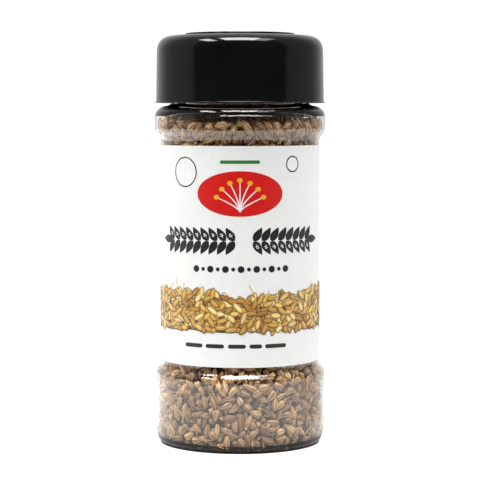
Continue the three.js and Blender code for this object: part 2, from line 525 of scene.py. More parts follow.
def jar_inside(steps):
    """The inside of the jar, from the middle of its floor up to the mouth. The shoulder is
    thicker towards the neck."""
    bore = NECK_RADIUS - NECK_WALL
    return [
        (0, PUSH_UP_HEIGHT + BASE),
        (PUSH_UP_RADIUS, PUSH_UP_HEIGHT - PUSH_UP_DOME + BASE),
        (STAND_RING_INNER + WALL, BASE),
        *jar_side(WALL, BASE, SHOULDER_INSIDE, steps),
        (bore + NECK_FILLET, SHOULDER_INSIDE[1]),
        (bore, SHOULDER_INSIDE[1] + NECK_FILLET),
        (bore, NECK_TOP),
    ]


def make_jar(material):
    outside = [
        (0, PUSH_UP_HEIGHT),
        (PUSH_UP_RADIUS, PUSH_UP_HEIGHT - PUSH_UP_DOME),
        (STAND_RING_INNER, 0),
        *jar_side(0, 0, SHOULDER_OUTSIDE, JAR_STEPS),
        (NECK_RADIUS + NECK_FILLET, NECK_ROOT - NECK_FILLET),
        (NECK_RADIUS, NECK_ROOT),
        (NECK_RADIUS, NECK_TOP),
    ]
    jar = lathe("clear_jar", outside + jar_inside(JAR_STEPS)[::-1], JAR_SIDES, material)
    shade_smooth(jar, JAR_SMOOTH_BELOW)
    finish_piece(jar, "clear_wall", "jar")


# ---- cap ----

CAP_SIDES = 192
CAP_TOP_STEPS = 24
CAP_LIP_STEPS = 4
CAP_DISC_STEPS = 6


def make_cap(material):
    roof = CAP_TOP - CAP_ROOF
    lip_top = CAP_BOTTOM + CAP_LIP_HEIGHT
    edge = CAP_LIP_ROUND
    lip = CAP_LIP_RADIUS - edge
    disc = CAP_DISC_RADIUS
    bend = CAP_DISC_ROUND
    top_round = bezier(
        (CAP_SIDE_TOP_RADIUS, CAP_SIDE_TOP),
        (CAP_SIDE_TOP_RADIUS, CAP_SIDE_TOP + CAP_ROUND_RISE),
        (CAP_SIDE_TOP_RADIUS - CAP_ROUND_REACH, CAP_TOP),
        (CAP_FLAT_RADIUS, CAP_TOP),
        CAP_TOP_STEPS,
    )
    outline = [
        (0, roof),
        (CAP_INNER_RADIUS, roof),
        (CAP_INNER_RADIUS, CAP_BOTTOM + CAP_ENTRY_HEIGHT),
        (CAP_ENTRY_RADIUS, CAP_BOTTOM),
        *quarter(lip, CAP_BOTTOM + edge, edge, edge, -1, 0, CAP_LIP_STEPS),
        *quarter(lip, lip_top - edge, edge, edge, 0, 1, CAP_LIP_STEPS),
        (CAP_FOOT_RADIUS + edge / 2, lip_top + edge / 2),
        (CAP_FOOT_RADIUS, lip_top + 2 * edge),
        *top_round,
        (disc + edge, CAP_TOP),
        (disc, CAP_TOP + edge),
        *quarter(disc - bend, CAP_PEAK - bend, bend, bend, 0, 1, CAP_DISC_STEPS),
        (0, CAP_PEAK),
    ]
    finish_piece(lathe("screw_cap", outline, CAP_SIDES, material), "cap", "cap")


# ---- label ----

LABEL_COLUMNS = 220
OVERLAP_RAMP = 4.0


def make_label(material):
    """A strip of paper wrapped once round the jar, with its end lying over its start at the
    back."""
    round_way = 2 * math.pi * LABEL_RADIUS
    points, faces = [], []
    for i in range(LABEL_COLUMNS + 1):
        along = (round_way + PAPER_OVERLAP) * i / LABEL_COLUMNS
        lifted = float(smooth_step(round_way - OVERLAP_RAMP, round_way, along))
        outer = LABEL_RADIUS + (PAPER + PAPER_GAP) * lifted
        inner = outer - PAPER
        angle = along / LABEL_RADIUS + math.pi / 2
        heights = (LABEL_BOTTOM, LABEL_BOTTOM, LABEL_TOP, LABEL_TOP)
        for r, z in zip((inner, outer, outer, inner), heights):
            points.append((r * math.cos(angle), r * math.sin(angle), z))
    last = 4 * LABEL_COLUMNS
    for here in range(0, last, 4):
        for k in range(4):
            n = (k + 1) % 4
            faces.append((here + k, here + 4 + k, here + 4 + n, here + n))
    faces += [(0, 1, 2, 3), (last + 3, last + 2, last + 1, last)]
    label = mesh_object("paper_label", points, faces, material)
    face_outwards(label)
    shade_smooth(label)
    finish_piece(label, "label", "label")


# ---- print ----

# Inks, in linear colour
BLACK = (0.012, 0.011, 0.011)
WHITE = (0.86, 0.86, 0.85)
RED = (0.66, 0.008, 0.006)
GREEN = (0.03, 0.2, 0.03)
GOLD = (0.86, 0.42, 0.03)
OCHRE_SHADE = (0.13, 0.055, 0.012)
STALK_INK = (0.66, 0.48, 0.1)
SEED_INKS = (
    (0.56, 0.3, 0.065),
    (0.68, 0.42, 0.11),
    (0.42, 0.2, 0.04),
    (0.78, 0.56, 0.22),
    (0.6, 0.34, 0.08),
)


class Print:
    """Flat shapes on the label. A place is (along, height): millimetres to the right of the
    middle of the label's face, and above the floor. A higher level lies over a lower one."""

    lift = 0.012
    level_step = 0.006
    column = 0.7
    end_steps = 6
    least_half = 0.004

    def __init__(self):
        self.points = []
        self.faces = []
        self.inks = []

    def _place(self, along, height, level):
        r = LABEL_RADIUS + self.lift + self.level_step * level
        angle = along / LABEL_RADIUS
        return (r * math.sin(angle), -r * math.cos(angle), height)

    def _strip(self, sides, ink, level):
        """Faces between pairs of places that follow each other."""
        first = len(self.points)
        for places in sides:
            self.points += [self._place(*place, level) for place in places]
        for a in range(first, len(self.points) - 2, 2):
            self.faces.append((a, a + 2, a + 3, a + 1))
            self.inks.append(ink)

    def columns(self, alongs, lows, highs, ink, level):
        """A shape given by its lower and upper edge."""
        sides = [((s, low), (s, high)) for s, low, high in zip(alongs, lows, highs)]
        self._strip(sides, ink, level)

    def round_shape(self, alongs, middles, halves, ink, level):
        """A shape given by its middle line and by half its height along it."""
        halves = [h + self.least_half for h in halves]
        lows = [m - h for m, h in zip(middles, halves)]
        highs = [m + h for m, h in zip(middles, halves)]
        self.columns(alongs, lows, highs, ink, level)

    def oval(self, along, height, half_long, half_high, ink, level, turn=0.0):
        """An ellipse, turned by an angle."""
        reach = math.hypot(half_long * math.cos(turn), half_high * math.sin(turn))
        slant = (half_long ** 2 - half_high ** 2) * math.sin(turn) * math.cos(turn) / reach ** 2
        tall = half_long * half_high / reach
        count = max(6, math.ceil(2 * reach / self.column))
        steps = [-math.cos(math.pi * i / count) for i in range(count + 1)]
        alongs = [along + reach * s for s in steps]
        middles = [height + slant * reach * s for s in steps]
        halves = [tall * math.sqrt(max(0.0, 1 - s * s)) for s in steps]
        self.round_shape(alongs, middles, halves, ink, level)

    def bar(self, left, right, low, high, ink, level):
        """A bar with round ends."""
        radius = (high - low) / 2
        middle = (high + low) / 2
        quarters = [math.pi / 2 * i / self.end_steps for i in range(self.end_steps + 1)]
        ends = [radius * (1 - math.cos(angle)) for angle in quarters]
        straight = right - left - 2 * radius
        count = max(2, math.ceil(straight / self.column))
        between = [left + radius + straight * i / count for i in range(1, count)]
        alongs = [left + e for e in ends] + between + [right - e for e in ends[::-1]]
        insets = [max(0.0, radius - min(s - left, right - s)) for s in alongs]
        halves = [math.sqrt(max(0.0, radius ** 2 - inset ** 2)) for inset in insets]
        self.round_shape(alongs, [middle] * len(alongs), halves, ink, level)

    def stroke(self, path, widths, ink, level):
        """A line with a width of its own at each place."""
        sides = []
        for i, (along, height) in enumerate(path):
            before = path[max(i - 1, 0)]
            after = path[min(i + 1, len(path) - 1)]
            aim = Vector((after[0] - before[0], after[1] - before[1])).normalized()
            aim *= widths[i] / 2
            sides.append(((along + aim.y, height - aim.x), (along - aim.y, height + aim.x)))
        self._strip(sides, ink, level)

    def make(self, name, material):
        thing = mesh_object(name, self.points, self.faces, material)
        layer = thing.data.color_attributes.new("ink", "FLOAT_COLOR", "CORNER")
        colours = []
        for polygon in thing.data.polygons:
            colours += [*self.inks[polygon.index], 1.0] * polygon.loop_total
        layer.data.foreach_set("color", colours)
        thing.data.shade_smooth()
        return thing


# Shares of its length at which a printed line has its points
LINE_SHARES = [i / 8 for i in range(9)]

# The medallion with its umbel, and the bar over it
MEDALLION = dict(along=0.0, height=71.4, half_long=12.2, half_high=6.2)
UMBEL_FOOT = (0.0, 66.5)
UMBEL_LEAN = 0.34
UMBEL_REACH = 8.6
UMBEL_DROOP = 0.32
UMBEL_WIDTHS = [0.42 - 0.02 * i for i in range(9)]
UMBEL_HEAD = (0.78, 0.66)
RULE = (-5.5, 5.5, 79.6, 80.5)

# The empty rings beside it
BADGES = (
    dict(along=-16.5, height=77.2, half_long=4.1, half_high=4.2),
    dict(along=15.6, height=79.4, half_long=2.3, half_high=2.3),
)
BADGE_LINE = 0.36

# The two branches, from their stems' starts to their ends
BRANCHES = ((-0.9, -26.9), (3.1, 27.3))
BRANCH_HEIGHT = 58.5
STEM_WIDTHS = (0.5, 0.3)
LEAF_REACH = (2.5, 3.7)
LEAF_STEP = 2.45
LEAF_START = 0.2
LEAF_FOOT = 0.15
LEAF_WIDTH = 2.15
LEAF_TIP_WIDTH = 0.05

# The row of beads, large and small in turn, and the broken rule
BEADS = (-12.6, 13.2, 50.8)
BEAD_COUNT = 13
BEAD_HALVES = (0.95, 0.55)
FOOT_BARS = ((-16.4, -10.7), (-9.7, -4.4), (-3.3, 1.6), (2.6, 6.1), (7.0, 13.4))
FOOT_HEIGHTS = (29.1, 30.2)

# The band of seeds: its field's height and bare seam, the strength, length and shift of three
# waves, and for each edge its inset and how strong, close and shifted the waves are there
BAND_LOW = 33.2
BAND_HIGH = 43.6
BAND_SEAM = 1.5
BAND_WAVES = ((0.7, 5.1, 0.0), (0.4, 2.3, 1.0), (0.3, 1.1, 2.0))
BAND_LOW_EDGE = (0.5, 0.3, 1.0, 0)
BAND_HIGH_EDGE = (-0.9, 1.2, 0.7, 4)

# Its seeds: levels over each other, places in a level and the share of them that is filled, how
# far a place stays from the band's foot and may pass its top, and from other seeds
BAND_LEVELS = 5
BAND_PLACES = 240
BAND_FILLED = 0.95
BAND_MARGIN = 0.9
LONGEST_SEED = 3.6
SEED_GAP = 1.9

# The three ovals of a printed seed: how far each lies to the right and up, how much shorter it
# is, half its height, and how bright it is
SEED_OVALS = (
    (0.0, 0.0, 0.0, 0.82, 0.25),
    (0.05, 0.06, 0.2, 0.62, 1.0),
    (0.1, 0.14, 0.6, 0.2, 1.35),
)
BAND_STALKS = 26
BAND_STALK_WIDTHS = [0.2] * 9


def print_medallion(shapes):
    """A red oval that holds a simple umbel of seven stalks with a gold head on each."""
    shapes.oval(**MEDALLION, ink=RED, level=1)
    x, y = UMBEL_FOOT
    for k in range(-3, 4):
        lean = k * UMBEL_LEAN
        reach = UMBEL_REACH - UMBEL_DROOP * abs(k)
        bow = []
        for t in LINE_SHARES:
            side = reach * t * math.sin(lean * t ** 0.6)
            bow.append((x + side, y + reach * t * math.cos(lean)))
        shapes.stroke(bow, UMBEL_WIDTHS, WHITE, 2)
        shapes.oval(*bow[-1], *UMBEL_HEAD, GOLD, 3)
    shapes.bar(*RULE, GREEN, 1)


def print_badges(shapes):
    """Two thin rings beside the medallion, left empty."""
    for badge in BADGES:
        shapes.oval(**badge, ink=BLACK, level=1)
        inner = {side: badge[side] - BADGE_LINE for side in ("half_long", "half_high")}
        shapes.oval(**(badge | inner), ink=WHITE, level=2)


def print_leaf(shapes, foot, tip):
    """A leaf that is widest a little before its middle."""
    path, widths = [], []
    for t in LINE_SHARES:
        path.append((foot[0] + (tip[0] - foot[0]) * t, foot[1] + (tip[1] - foot[1]) * t ** 1.25))
        widths.append(LEAF_TIP_WIDTH + LEAF_WIDTH * math.sin(math.pi * t ** 0.85) ** 0.9)
    shapes.stroke(path, widths, BLACK, 1)


def print_branch(shapes, start, end):
    """A stem with pairs of leaves and one leaf at its end."""
    way = math.copysign(1, end - start)
    reach, rise = LEAF_REACH
    count = int((abs(end - start) - reach) / LEAF_STEP)
    for i in range(count):
        foot = start + way * LEAF_STEP * (i + LEAF_START)
        for side in (-1, 1):
            tip = (foot + way * reach, BRANCH_HEIGHT + side * rise)
            print_leaf(shapes, (foot, BRANCH_HEIGHT + side * LEAF_FOOT), tip)
    stem_end = start + way * LEAF_STEP * count
    print_leaf(shapes, (stem_end - way, BRANCH_HEIGHT), (end, BRANCH_HEIGHT))
    stem = [(start, BRANCH_HEIGHT), (stem_end, BRANCH_HEIGHT)]
    shapes.stroke(stem, STEM_WIDTHS, BLACK, 1)


def print_ornaments(shapes):
    """Two leafy branches, a row of beads and a broken rule."""
    for start, end in BRANCHES:
        print_branch(shapes, start, end)
    left, right, height = BEADS
    for i in range(BEAD_COUNT):
        half = BEAD_HALVES[i % 2]
        shapes.oval(left + (right - left) * i / (BEAD_COUNT - 1), height, half, half, BLACK, 1)
    for left, right in FOOT_BARS:
        shapes.bar(left, right, *FOOT_HEIGHTS, BLACK, 1)


def band_edge(alongs, height, inset, strength, pace, shift):
    """Heights of one of the field's wavy edges."""
    waves = sum(a * np.sin(alongs / w * pace + s + shift) for a, w, s in BAND_WAVES)
    return height + inset + strength * waves


def print_seed(shapes, random, along, height, level):
    """A dark oval, one of the seed's own colour on it and a pale line on that."""
    turn = random.uniform(-1.4, 1.4)
    half = random.uniform(1.3, 1.95)
    ink = SEED_INKS[random.integers(len(SEED_INKS))]
    shade = random.uniform(0.8, 1.2)
    for i, (right, up, less, high, bright) in enumerate(SEED_OVALS):
        colour = tuple(min(1.0, c * shade * bright) for c in ink)
        shapes.oval(along + right, height + up, half - less, high, colour, level + i, turn)


def print_seeds(shapes, random, top, half, level):
    """Seeds at places that keep clear of each other. The last of the places stay bare."""
    kept = []
    while len(kept) < BAND_PLACES:
        along = random.uniform(-half + 2, half - 2)
        height = random.uniform(BAND_LOW + BAND_MARGIN, top(along) + BAND_MARGIN)
        if len(kept) > BAND_PLACES * BAND_FILLED:
            kept.append((along, height))
        elif all(
            abs(along - a) > LONGEST_SEED or math.hypot(along - a, height - h) > SEED_GAP
            for a, h in kept
        ):
            kept.append((along, height))
            print_seed(shapes, random, along, height, level)


def print_seed_band(shapes, random):
    """An ochre field with simple golden seeds and a few stalks, right round the label."""
    half = math.pi * LABEL_RADIUS - BAND_SEAM
    alongs = np.arange(-half, half, Print.column)
    low = band_edge(alongs, BAND_LOW, *BAND_LOW_EDGE)
    high = band_edge(alongs, BAND_HIGH, *BAND_HIGH_EDGE)
    shapes.columns(list(alongs), list(low), list(high), OCHRE_SHADE, 1)

    def top(along):
        return np.interp(along, alongs, high)

    for level in range(BAND_LEVELS):
        print_seeds(shapes, random, top, half, 2 + 3 * level)
    for _ in range(BAND_STALKS):
        along = random.uniform(-half + 4, half - 4)
        foot = top(along) - 1.0
        lean = random.uniform(-0.9, 0.9)
        length = random.uniform(2.0, 6.2)
        bend = random.uniform(-0.5, 0.5)
        path = []
        for t in LINE_SHARES:
            aim = lean + bend * t
            path.append((along + length * t * math.sin(aim), foot + length * t * math.cos(aim)))
        shapes.stroke(path, BAND_STALK_WIDTHS, STALK_INK, 2 + 3 * BAND_LEVELS)


def make_print(material):
    shapes = Print()
    print_medallion(shapes)
    print_badges(shapes)
    print_ornaments(shapes)
    print_seed_band(shapes, np.random.default_rng(31))
    finish_piece(shapes.make("label_print", material), "label")


# ---- packing the seed ----

# The jar's inside as lines of (radius, height), and the step over which its lean is measured
WALL_STEPS = 12
SLOPE_STEP = 0.2
INSIDE_LINE = jar_inside(WALL_STEPS)
FLOOR_LINE = np.array(INSIDE_LINE[:3])
WALL_LINE = np.array([p for p in INSIDE_LINE[3:] if p[0] > NECK_RADIUS])

# A seed is packed as three balls: their places as shares of its length from its middle, and
# their radii as shares of its width. They touch the wall at a smaller share of their radii.
BALL_SPOTS = np.array((-0.29, 0.0, 0.29))
BALL_RADII = np.array((0.36, 0.47, 0.36))
WALL_TOUCH = 0.76

# Seeds are first put within this half width, and at least this deep
FIRST_HALF = 24
FIRST_DEPTH = 0.8

# The balls start smaller and are full grown after a part of the steps. Pairs of balls this many
# seed widths apart are looked for again every few steps. Seeds follow each push only in part.
PACK_STEPS = 72
START_SHARE = 0.55
GROWTH = 0.45
GROWN_AT = 0.45
PAIRS_EVERY = 6
PAIR_REACH = 1.35
PUSH = 0.8
FOLLOW = 0.9

# How much the flat side of a seed is tilted away from the wall at random
FLAT_TILT = 0.35


def wall_radius(z):
    """Radius of the jar's inside at a height."""
    return np.interp(z, WALL_LINE[:, 1], WALL_LINE[:, 0])


def wall_lean(z):
    """How much further a ball's middle stays from a leaning wall, sideways."""
    slope = (wall_radius(z + SLOPE_STEP) - wall_radius(z - SLOPE_STEP)) / (2 * SLOPE_STEP)
    return np.sqrt(1 + slope ** 2)


def floor_height(r):
    """Height of the jar's inside floor at a radius."""
    return np.interp(r, FLOOR_LINE[:, 0], FLOOR_LINE[:, 1])


def heap_height(x, y):
    """Height of the heap's uneven top at a place: its middle rises to the back, and it waves."""
    turns = 2 * math.pi / HEAP_WAVE_LENGTH
    wave = HEAP_WAVE * np.cos(turns * x) * np.cos(turns * (y + HEAP_WAVE_SHIFT))
    back = y / BUMPER_RADIUS
    rise = (HEAP_SLOPE * back + HEAP_DISH * back ** 2) * np.exp(-(x / HEAP_SLOPE_HALF) ** 4)
    return HEAP_TOP + rise - wave


class LowerBand:
    """The clear band under the label, and the heap's underside."""

    low = 1.0
    high = 26.4
    count = 1500
    face_side = -1

    @staticmethod
    def face_depth(x, y, z):
        return z - floor_height(np.hypot(x, y))


class UpperBand:
    """The clear band over the label, and the heap's top."""

    low = 82.2
    high = HEAP_TOP + HEAP_SLOPE + HEAP_DISH + HEAP_WAVE
    count = 830
    face_side = 1

    @staticmethod
    def face_depth(x, y, z):
        return heap_height(x, y) - z


def keep_inside(balls, radii, band):
    """Moves that bring balls back between the jar's wall, the heap's face and its core."""
    x, y, z = balls.T
    r = np.maximum(np.hypot(x, y), 1e-6)
    depth = wall_radius(z) - r
    face = band.face_depth(x, y, z)
    outwards = np.minimum(depth - radii * WALL_TOUCH * wall_lean(z), 0)
    towards_face = np.minimum(face - radii, 0)
    buried = (depth > SIDE_DEPTH) & (face > FACE_DEPTH)
    to_side = buried & (depth - SIDE_DEPTH < face - FACE_DEPTH)
    to_face = buried & ~to_side
    outwards = np.where(to_side, depth - SIDE_DEPTH, outwards)
    towards_face = np.where(to_face, face - FACE_DEPTH, towards_face)
    limit = band.high if band.face_side < 0 else band.low
    past = (z - limit) * band.face_side
    upwards = (towards_face + np.where(past < 0, -past, 0)) * band.face_side
    return np.stack((outwards * x / r, outwards * y / r, upwards), axis=1)


def near_pairs(balls, owners, reach):
    """Pairs of balls of different seeds that are closer than reach."""
    tree = kdtree.KDTree(len(balls))
    for i, ball in enumerate(balls):
        tree.insert(ball, i)
    tree.balance()
    pairs = []
    for i, ball in enumerate(balls):
        for _, j, _ in tree.find_range(ball, reach):
            if j > i and owners[i] != owners[j]:
                pairs.append((i, j))
    return np.array(pairs).T


def push_apart(balls, radii, pairs):
    """Moves that take each pair of balls apart by half of their overlap."""
    firsts, seconds = pairs
    apart = balls[firsts] - balls[seconds]
    far = np.maximum(np.linalg.norm(apart, axis=1), 1e-6)
    overlap = np.maximum(radii[firsts] + radii[seconds] - far, 0)
    push = apart / far[:, None] * overlap[:, None] * 0.5
    moves = np.zeros_like(balls)
    for k in range(3):
        moves[:, k] += np.bincount(firsts, push[:, k], len(balls))
        moves[:, k] -= np.bincount(seconds, push[:, k], len(balls))
    return moves


def seed_sizes(count, random):
    """Length, width and thickness of each seed."""
    return np.stack((
        SEED_LENGTH * random.uniform(0.8, 1.18, count),
        SEED_WIDTH * random.uniform(0.84, 1.14, count),
        SEED_THICKNESS * random.uniform(0.86, 1.12, count),
    ), axis=1)


def first_middles(band, random):
    """Random places in a band, near the jar's wall or the heap's face."""
    low = (-FIRST_HALF, -FIRST_HALF, band.low)
    high = (FIRST_HALF, FIRST_HALF, band.high)
    middles = np.empty((0, 3))
    while len(middles) < band.count:
        tries = random.uniform(low, high, (4 * band.count, 3))
        x, y, z = tries.T
        depth = wall_radius(z) - np.hypot(x, y)
        face = band.face_depth(x, y, z)
        shows = (depth < SIDE_DEPTH) | (face < FACE_DEPTH)
        fits = (depth > FIRST_DEPTH) & (face > FIRST_DEPTH) & shows
        middles = np.concatenate((middles, tries[fits]))
    return middles[:band.count]


def unit(vectors):
    return vectors / np.linalg.norm(vectors, axis=1, keepdims=True)


def pack(band, random):
    """Settles seeds in a band until they hardly overlap. Returns their middles, aims and sizes."""
    sizes = seed_sizes(band.count, random)
    middles = first_middles(band, random)
    aims = unit(random.normal(size=(band.count, 3)))
    arms = sizes[:, :1] * BALL_SPOTS
    full = sizes[:, 1:2] * BALL_RADII
    owners = np.repeat(np.arange(band.count), 3)
    for step in range(PACK_STEPS):
        grown = min(1.0, START_SHARE + GROWTH * step / (PACK_STEPS * GROWN_AT))
        radii = (full * grown).ravel()
        balls = (middles[:, None, :] + arms[:, :, None] * aims[:, None, :]).reshape(-1, 3)
        if step % PAIRS_EVERY == 0:
            pairs = near_pairs(balls, owners, SEED_WIDTH * PAIR_REACH)
        moves = push_apart(balls, radii, pairs) * PUSH
        moves = moves + keep_inside(balls + moves, radii, band)
        moves = moves.reshape(-1, 3, 3)
        middles = middles + moves.mean(axis=1) * FOLLOW
        swing = (moves * BALL_SPOTS[None, :, None]).sum(axis=1) / (2 * BALL_SPOTS[2] ** 2)
        aims = unit(aims + swing / sizes[:, :1] * FOLLOW)
    return middles, aims, sizes


def turns_of(middles, aims, random):
    """Euler turns that lay each seed along its aim with its flat side mostly to the wall."""
    turns = []
    for middle, aim in zip(middles, aims):
        along = Vector(aim)
        outward = Vector((middle[0], middle[1], 0)).normalized()
        flat = outward + Vector(random.normal(size=3)) * FLAT_TILT
        flat = (flat - along * flat.dot(along)).normalized()
        turn = Matrix((along, flat.cross(along), flat)).transposed()
        turns.append(tuple(turn.to_euler()))
    return turns


# ---- seeds ----

# A seed is one unit long, wide and thick. Its rings, from its stalk's end to its other end, are
# places along it and shares of its width. A halved one is this thick under its middle.
SEED_RINGS = ((0.03, 0.42), (0.14, 0.78), (0.34, 1.0), (0.6, 0.97), (0.82, 0.71), (0.96, 0.33))
SEED_SIDES = 10
HALVED_DEPTH = 0.06

# A seed's stub of stalk: places along it and radii
STUB_RINGS = ((0.0, 0.1), (0.6, 0.055), (1.0, 0.04))
STUB_ROOT = -0.47
STUB_BEND = 0.25

SEED_KINDS = (
    dict(taper=0.5, bend=0.05, stalk=0.0, halved=False, furrow=0.84),
    dict(taper=0.2, bend=0.1, stalk=0.22, halved=False, furrow=0.82),
    dict(taper=0.7, bend=-0.04, stalk=0.0, halved=False, furrow=0.88),
    dict(taper=0.3, bend=0.16, stalk=0.0, halved=True, furrow=0.85),
    dict(taper=0.45, bend=-0.09, stalk=0.3, halved=False, furrow=0.8),
    dict(taper=0.1, bend=0.02, stalk=0.0, halved=False, furrow=0.83),
)
KIND_SHARES = (0.24, 0.16, 0.18, 0.14, 0.1, 0.18)


def husk_point(k, t, r, bend, halved, furrow):
    """A point of the ring at t and how much of a rib it is. Every other point is a rib, and a
    halved seed is flat below."""
    angle = 2 * math.pi * (k + 0.5 * halved) / SEED_SIDES
    rib = 1.0 - k % 2
    reach = r * (1.0 if rib else furrow)
    y, z = reach * math.cos(angle), reach * math.sin(angle)
    if halved and z < 0:
        z = -HALVED_DEPTH
        rib = 1.0 if abs(y) > 0.8 * r else 0.15
    return (t - 0.5, y + bend * (1 - (2 * t - 1) ** 2), z), rib


def husk_mesh(taper, bend, halved, furrow):
    """Points, ribs and faces of a seed's closed husk."""
    points, ribs, faces = [(-0.5, 0, 0)], [0.3], []
    for t, share in SEED_RINGS:
        r = share * (1 + taper * (0.5 - t)) * 0.5
        for k in range(SEED_SIDES):
            point, rib = husk_point(k, t, r, bend, halved, furrow)
            points.append(point)
            ribs.append(rib)
    points.append((0.5, 0, 0))
    ribs.append(0.6)
    last = len(points) - 1 - SEED_SIDES
    for k in range(SEED_SIDES):
        n = (k + 1) % SEED_SIDES
        faces.append((0, 1 + n, 1 + k))
        for a in range(1, last, SEED_SIDES):
            b = a + SEED_SIDES
            faces.append((a + k, a + n, b + n, b + k))
        faces.append((last + k, last + n, len(points) - 1))
    return points, ribs, faces


def add_stub(points, ribs, faces, stalk, bend):
    """Adds a stub of stalk, four-sided and closed at both ends."""
    first = len(points)
    for t, radius in STUB_RINGS:
        for k in range(4):
            angle = math.pi / 2 * k
            y = radius * math.cos(angle) + STUB_BEND * t * t * bend
            points.append((STUB_ROOT - stalk * t, y, radius * math.sin(angle)))
            ribs.append(1.0)
    for k in range(4):
        n = (k + 1) % 4
        for a in (first, first + 4):
            faces.append((a + k, a + 4 + k, a + 4 + n, a + n))
    faces.append(tuple(first + k for k in range(4)))
    faces.append(tuple(first + 8 + k for k in (3, 2, 1, 0)))


def seed_kind(name, taper, bend, stalk, halved, furrow):
    """One kind of seed, with a rib attribute on its points."""
    points, ribs, faces = husk_mesh(taper, bend, halved, furrow)
    if stalk:
        add_stub(points, ribs, faces, stalk, bend)
    thing = mesh_object(name, [tuple(c / MM for c in p) for p in points], faces)
    face_outwards(thing)
    add_attribute(thing, "ridge", "FLOAT", ribs)
    thing.data.shade_smooth()
    return thing


def open_tree(name, **inputs):
    """Nodes of a new tree that takes geometry and the named numbers, and what it is given."""
    tree = bpy.data.node_groups.new(name, "GeometryNodeTree")
    new_socket = tree.interface.new_socket
    new_socket("Geometry", in_out="INPUT", socket_type="NodeSocketGeometry")
    for label, value in inputs.items():
        kind = "NodeSocketInt" if isinstance(value, int) else "NodeSocketFloat"
        socket = new_socket(label.replace("_", " "), in_out="INPUT", socket_type=kind)
        socket.default_value = value
    new_socket("Geometry", in_out="OUTPUT", socket_type="NodeSocketGeometry")
    nodes = Nodes(tree)
    return nodes, nodes.add("NodeGroupInput").outputs


def close_tree(nodes, geometry, material):
    """Makes what was placed real, gives it its material and ends the tree."""
    real = nodes.add("GeometryNodeRealizeInstances", {"Geometry": geometry}).outputs[0]
    painted = nodes.add("GeometryNodeSetMaterial", {"Geometry": real, "Material": material})
    nodes.add("NodeGroupOutput", {"Geometry": painted.outputs[0]})
    return nodes.tree


def scatter_tree(kinds, material):
    """Puts a seed of the asked kind on each point, gives it a tint of its own and joins them."""
    nodes, given = open_tree("seed scatter", Seed_Size=1.0, Random_Start=1)
    shelf = nodes.add("GeometryNodeCollectionInfo", {
        "Collection": kinds, "Separate Children": True, "Reset Children": True,
    })
    size = nodes.kept("size", "FLOAT_VECTOR")
    scaled = nodes.add("ShaderNodeVectorMath", {0: size}, operation="SCALE")
    nodes.put(scaled.inputs["Scale"], given["Seed Size"])
    placed = nodes.add("GeometryNodeInstanceOnPoints", {
        "Points": given["Geometry"],
        "Instance": shelf.outputs[0],
        "Pick Instance": True,
        "Instance Index": nodes.kept("kind", "INT"),
        "Rotation": nodes.kept("turn", "FLOAT_VECTOR"),
        "Scale": scaled.outputs[0],
    })
    start = {"Seed": given["Random Start"]}
    chance = nodes.add("FunctionNodeRandomValue", start, data_type="FLOAT").outputs[1]
    tinted = nodes.add("GeometryNodeStoreNamedAttribute", {
        "Geometry": placed.outputs[0], "Name": "tint", "Value": chance,
    }, data_type="FLOAT", domain="INSTANCE")
    return close_tree(nodes, tinted.outputs[0], material)


def run_tree(thing, tree, name, **inputs):
    """Runs a tree on an object and leaves its result as a plain mesh of that name."""
    modifier = thing.modifiers.new("make", "NODES")
    modifier.node_group = tree
    for item in tree.interface.items_tree:
        value = inputs.get(item.name.replace(" ", "_"))
        if value is not None:
            modifier[item.identifier] = value
    evaluated = thing.evaluated_get(bpy.context.evaluated_depsgraph_get())
    mesh = bpy.data.meshes.new_from_object(evaluated)
    mesh.name = name
    thing.modifiers.clear()
    source = thing.data
    thing.data = mesh
    bpy.data.meshes.remove(source)
    thing.name = name
    return thing


# What reaches further than the bite into the jar's wall or floor keeps this share of the rest
WALL_BITE = 0.12
BITE_SHARE = 0.2


def press_inside(thing):
    """Flattens what would reach far into the jar's wall or floor, so that it ends just in them."""
    places = np.empty(3 * len(thing.data.vertices))
    thing.data.vertices.foreach_get("co", places)
    x, y, z = places.reshape(-1, 3).T / MM
    r = np.maximum(np.hypot(x, y), 1e-6)
    past = np.maximum(r - wall_radius(z) - WALL_BITE, 0)
    under = np.maximum(floor_height(r) - WALL_BITE - z, 0)
    shrink = 1 - (1 - BITE_SHARE) * past / r
    pressed = np.stack((x * shrink, y * shrink, z + (1 - BITE_SHARE) * under), axis=1)
    thing.data.vertices.foreach_set("co", (pressed * MM).ravel())
    thing.data.update()


def make_seeds(name, band, tree, start):
    """The seeds of one band."""
    random = np.random.default_rng(start)
    middles, aims, sizes = pack(band, random)
    turns = turns_of(middles, aims, random)
    kinds = random.choice(len(SEED_KINDS), len(middles), p=KIND_SHARES)
    cloud = mesh_object(name, [tuple(p) for p in middles], [])
    add_attribute(cloud, "turn", "FLOAT_VECTOR", turns)
    add_attribute(cloud, "size", "FLOAT_VECTOR", sizes * MM)
    add_attribute(cloud, "kind", "INT", kinds)
    seeds = run_tree(cloud, tree, name, Seed_Size=1.0, Random_Start=start)
    press_inside(seeds)
    seeds.data.shade_smooth()
    finish_piece(seeds, "seeds", "seeds")


# Core of the heap. Its foot bulges: distances out from its side and heights over its base. It
# lies close behind the panel, and past the panel's ends it keeps its depth but for the edge.
CORE_SIDES = 96
CORE_LIFT = 0.7
CORE_SIDE_HEIGHT = 12.0
CORE_GAP = 0.15
CORE_FOOT = ((1.1, 1.2), (0.7, 3.0), (0, 5.0))
CORE_EDGE = 0.6
CORE_LOWER_STEP = (1.2, 3.4)
CORE_UPPER_STEP = (4.0, 2.6)
CORE_TOP_STEP = 1.5


